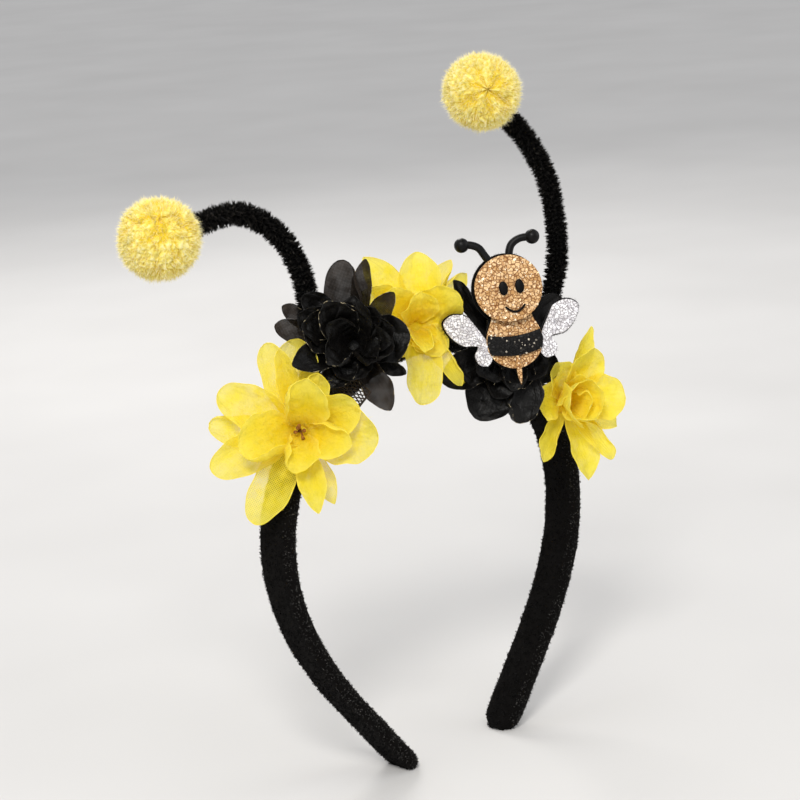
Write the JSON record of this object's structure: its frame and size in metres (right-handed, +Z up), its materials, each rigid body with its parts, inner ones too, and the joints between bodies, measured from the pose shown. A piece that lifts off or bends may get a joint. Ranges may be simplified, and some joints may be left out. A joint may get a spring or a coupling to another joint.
{
  "type": "bee antenna headband",
  "caption": "Velvet covered headband with two pompom antennae on bent chenille stems, layered fabric flowers and a flat glitter bee.",
  "frame": {"origin": "middle of the whole object's box, at the level of the two feet that it stands on", "axes": "+Z up, -Y the way the wearer looks, +X to the right as seen from the front"},
  "size_m": [0.1914, 0.0512, 0.2531],
  "materials": {
    "velvet": "velvet",
    "chenille": "short pile",
    "pompom_yarn": "fluffy",
    "yellow_organza": "sheer",
    "black_organza": "sheer",
    "black_net": "open net",
    "stamen_thread": "matte",
    "black_felt": "felt",
    "gold_glitter": "glitter",
    "black_glitter": "glitter",
    "silver_glitter": "glitter",
    "black_rubber": "satin"
  },
  "bodies": {
    "root": {"antenna_stem_left": "chenille", "antenna_stem_right": "chenille", "bee_backing": "black_felt", "bee_body": "gold_glitter", "bee_eye_left": "black_rubber", "bee_eye_right": "black_rubber", "bee_feeler_left": "black_rubber", "bee_feeler_right": "black_rubber", "bee_head": "gold_glitter", "bee_smile": "black_rubber", "bee_stinger": "gold_glitter", "bee_stripe": "black_glitter", "bee_wings_left": "silver_glitter", "bee_wings_right": "silver_glitter", "flower_black_left": "black_organza", "flower_black_right": "black_organza", "flower_stamens": "stamen_thread", "flower_yellow_left": "yellow_organza", "flower_yellow_middle": "yellow_organza", "flower_yellow_right": "yellow_organza", "headband": "velvet", "net_petal": "black_net", "pompom_left": "pompom_yarn", "pompom_right": "pompom_yarn"}
  },
  "joints": []
}
